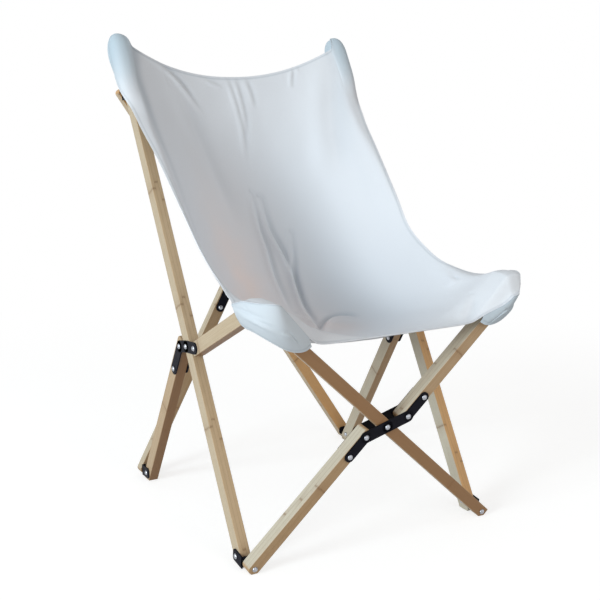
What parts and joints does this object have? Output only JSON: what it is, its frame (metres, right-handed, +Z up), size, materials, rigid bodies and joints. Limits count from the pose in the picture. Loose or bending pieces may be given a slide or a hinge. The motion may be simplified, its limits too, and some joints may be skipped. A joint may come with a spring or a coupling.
{
  "type": "folding sling chair",
  "caption": "Folding butterfly lounge chair: hinged wooden bars crossing at front and back, with a canvas sling hung from pockets on the four upper corners.",
  "frame": {"origin": "middle of the outline on the floor", "axes": "+Z up, the sitter faces -Y, +X is the sitter's left, which is the right of someone who looks at the front"},
  "size_m": [0.554, 0.6678, 0.9076],
  "materials": {
    "wood": "clear satin lacquer over laminated bamboo strips",
    "black_steel": "black satin coating on sheet steel",
    "bolt_steel": "bright domed heads",
    "canvas": "heavy off-white plain-weave cotton canvas"
  },
  "bodies": {
    "front_cross_pivot": {"front_cross_pivot": "bolt_steel"},
    "front_whole_bar": {"front_bar_whole": "wood"},
    "front_cranked_bar": {"front_bar_lower": "wood", "front_bar_upper": "wood", "front_plate_front": "black_steel", "front_plate_back": "black_steel", "front_bolt_low_far": "bolt_steel", "front_bolt_low_near": "bolt_steel", "front_bolt_high_near": "bolt_steel", "front_bolt_high_far": "bolt_steel"},
    "rear_whole_bar": {"rear_bar_whole": "wood", "pin_rear_top_left": "bolt_steel"},
    "rear_cranked_bar": {"rear_bar_lower": "wood", "rear_bar_upper": "wood", "rear_plate_front": "black_steel", "rear_plate_back": "black_steel", "rear_bolt_low_far": "bolt_steel", "rear_bolt_low_near": "bolt_steel", "rear_cross_pivot": "bolt_steel", "rear_bolt_high_near": "bolt_steel", "rear_bolt_high_far": "bolt_steel", "pin_rear_top_right": "bolt_steel"},
    "long_bar_left": {"long_bar_left": "wood", "ear_pocket_left": "canvas", "canvas_1": "canvas"},
    "leg_left": {"leg_left": "wood", "side_plate_left_outer": "black_steel", "side_plate_left_inner": "black_steel", "leg_bolt_upper_left": "bolt_steel", "leg_bolt_lower_left": "bolt_steel", "side_pivot_left": "bolt_steel", "rail_pivot_left": "bolt_steel"},
    "seat_rail_left": {"seat_rail_left": "wood", "front_pocket_left": "canvas", "canvas_5": "canvas"},
    "bracket_front_foot_left": {"bracket_front_foot_left": "black_steel"},
    "bracket_front_top_left": {"bracket_front_top_left": "black_steel"},
    "bracket_rear_foot_left": {"bracket_rear_foot_left": "black_steel"},
    "bracket_rear_top_left": {"bracket_rear_top_left": "black_steel"},
    "long_bar_right": {"long_bar_right": "wood", "ear_pocket_right": "canvas"},
    "leg_right": {"leg_right": "wood", "side_plate_right_outer": "black_steel", "side_plate_right_inner": "black_steel", "leg_bolt_upper_right": "bolt_steel", "leg_bolt_lower_right": "bolt_steel", "side_pivot_right": "bolt_steel", "rail_pivot_right": "bolt_steel"},
    "seat_rail_right": {"seat_rail_right": "wood", "front_pocket_right": "canvas"},
    "bracket_front_foot_right": {"bracket_front_foot_right": "black_steel"},
    "bracket_front_top_right": {"bracket_front_top_right": "black_steel"},
    "bracket_rear_foot_right": {"bracket_rear_foot_right": "black_steel"},
    "bracket_rear_top_right": {"bracket_rear_top_right": "black_steel"},
    "canvas_2": {"canvas_2": "canvas"},
    "canvas_3": {"canvas_3": "canvas"},
    "canvas_4": {"canvas_4": "canvas"}
  },
  "joints": [
    {"name": "fold", "type": "hinge", "parent": "front_cross_pivot", "child": "front_whole_bar", "pos_m": [0, -0.28171, 0.23486], "axis": [0, 0.9922, 0.1243], "range_deg": [0, 29.88], "deforming": ["canvas_1", "canvas_2", "canvas_3", "canvas_4", "canvas_5", "front_pocket_left", "front_pocket_right"]},
    {"name": "front_cranked_turn", "type": "hinge", "parent": "front_cross_pivot", "child": "front_cranked_bar", "pos_m": [0, -0.28171, 0.23486], "axis": [0, -0.9922, -0.1243], "range_deg": [0, 29.9]},
    {"name": "front_foot_pin_right", "type": "hinge", "parent": "front_whole_bar", "child": "bracket_front_foot_right", "pos_m": [0.245, -0.25366, 0.01093], "axis": [0, -0.9922, -0.1243], "range_deg": [0, 29.9]},
    {"name": "front_foot_pin_left", "type": "hinge", "parent": "front_cranked_bar", "child": "bracket_front_foot_left", "pos_m": [-0.245, -0.25366, 0.01093], "axis": [0, 0.9922, 0.1243], "range_deg": [0, 29.9]},
    {"name": "long_bar_lean_left", "type": "hinge", "parent": "bracket_front_foot_left", "child": "long_bar_left", "pos_m": [-0.245, -0.21694, 0.01553], "axis": [1, 0, 0], "range_deg": [0, 25.83]},
    {"name": "leg_swing_left", "type": "hinge", "parent": "long_bar_left", "child": "leg_left", "pos_m": [-0.245, -0.01681, 0.3456], "axis": [-1, 0, 0], "range_deg": [0, 38.2]},
    {"name": "rail_swing_left", "type": "hinge", "parent": "leg_left", "child": "seat_rail_left", "pos_m": [-0.245, -0.05255, 0.35031], "axis": [-1, 0, 0], "range_deg": [0, 31.3]},
    {"name": "front_top_turn_left", "type": "hinge", "parent": "seat_rail_left", "child": "bracket_front_top_left", "pos_m": [-0.245, -0.27305, 0.46339], "axis": [1, 0, 0], "range_deg": [0, 43.66]},
    {"name": "rear_foot_turn_left", "type": "hinge", "parent": "leg_left", "child": "bracket_rear_foot_left", "pos_m": [-0.245, 0.2165, 0.0164], "axis": [1, 0, 0], "range_deg": [0, 22.09]},
    {"name": "rear_top_turn_left", "type": "hinge", "parent": "long_bar_left", "child": "bracket_rear_top_left", "pos_m": [-0.245, 0.25456, 0.79316], "axis": [-1, 0, 0], "range_deg": [0, 16.13]},
    {"name": "long_bar_lean_right", "type": "hinge", "parent": "bracket_front_foot_right", "child": "long_bar_right", "pos_m": [0.245, -0.21694, 0.01553], "axis": [1, 0, 0], "range_deg": [0, 25.83]},
    {"name": "leg_swing_right", "type": "hinge", "parent": "long_bar_right", "child": "leg_right", "pos_m": [0.245, -0.01681, 0.3456], "axis": [-1, 0, 0], "range_deg": [0, 38.2]},
    {"name": "rail_swing_right", "type": "hinge", "parent": "leg_right", "child": "seat_rail_right", "pos_m": [0.245, -0.05255, 0.35031], "axis": [-1, 0, 0], "range_deg": [0, 31.3]},
    {"name": "front_top_turn_right", "type": "hinge", "parent": "seat_rail_right", "child": "bracket_front_top_right", "pos_m": [0.245, -0.27305, 0.46339], "axis": [1, 0, 0], "range_deg": [0, 43.66]},
    {"name": "rear_foot_turn_right", "type": "hinge", "parent": "leg_right", "child": "bracket_rear_foot_right", "pos_m": [0.245, 0.2165, 0.0164], "axis": [1, 0, 0], "range_deg": [0, 22.09]},
    {"name": "rear_top_turn_right", "type": "hinge", "parent": "long_bar_right", "child": "bracket_rear_top_right", "pos_m": [0.245, 0.25456, 0.79316], "axis": [-1, 0, 0], "range_deg": [0, 16.13]},
    {"name": "rear_foot_pin_left", "type": "hinge", "parent": "bracket_rear_foot_left", "child": "rear_cranked_bar", "pos_m": [-0.248, 0.25246, 0.01464], "axis": [0, -0.9988, 0.0489], "range_deg": [0, 19.34]},
    {"name": "rear_foot_pin_right", "type": "hinge", "parent": "bracket_rear_foot_right", "child": "rear_whole_bar", "pos_m": [0.248, 0.25246, 0.01464], "axis": [0, 0.9988, -0.0489], "range_deg": [0, 19.34]},
    {"name": "canvas_turn_2", "type": "hinge", "parent": "long_bar_left", "child": "canvas_2", "pos_m": [-0.245, 0.19961, 0.74745], "axis": [1, 0, 0], "range_deg": [0, 12.09]},
    {"name": "canvas_turn_3", "type": "hinge", "parent": "canvas_2", "child": "canvas_3", "pos_m": [-0.245, 0.11607, 0.42155], "axis": [-1, 0, 0], "range_deg": [0, 30.27]},
    {"name": "canvas_turn_4", "type": "hinge", "parent": "canvas_3", "child": "canvas_4", "pos_m": [-0.245, -0.06105, 0.3439], "axis": [-1, 0, 0], "range_deg": [0, 34.15]}
  ],
  "couplings": [
    {"joint": "front_cranked_turn", "follows": "fold", "ratio": 1},
    {"joint": "front_foot_pin_right", "follows": "fold", "ratio": 1},
    {"joint": "front_foot_pin_left", "follows": "fold", "ratio": 1},
    {"joint": "long_bar_lean_left", "follows": "fold", "ratio": 0.86394},
    {"joint": "leg_swing_left", "follows": "fold", "ratio": 1.2777},
    {"joint": "rail_swing_left", "follows": "fold", "ratio": 1.0469},
    {"joint": "front_top_turn_left", "follows": "fold", "ratio": 1.4606},
    {"joint": "rear_foot_turn_left", "follows": "fold", "ratio": 0.73857},
    {"joint": "rear_top_turn_left", "follows": "fold", "ratio": 0.53913},
    {"joint": "long_bar_lean_right", "follows": "fold", "ratio": 0.86394},
    {"joint": "leg_swing_right", "follows": "fold", "ratio": 1.2777},
    {"joint": "rail_swing_right", "follows": "fold", "ratio": 1.0469},
    {"joint": "front_top_turn_right", "follows": "fold", "ratio": 1.4606},
    {"joint": "rear_foot_turn_right", "follows": "fold", "ratio": 0.73857},
    {"joint": "rear_top_turn_right", "follows": "fold", "ratio": 0.53913},
    {"joint": "rear_foot_pin_left", "follows": "fold", "ratio": 0.64672},
    {"joint": "rear_foot_pin_right", "follows": "fold", "ratio": 0.64672},
    {"joint": "canvas_turn_2", "follows": "fold", "ratio": 0.40407},
    {"joint": "canvas_turn_3", "follows": "fold", "ratio": 1.0123},
    {"joint": "canvas_turn_4", "follows": "fold", "ratio": 1.1423}
  ]
}
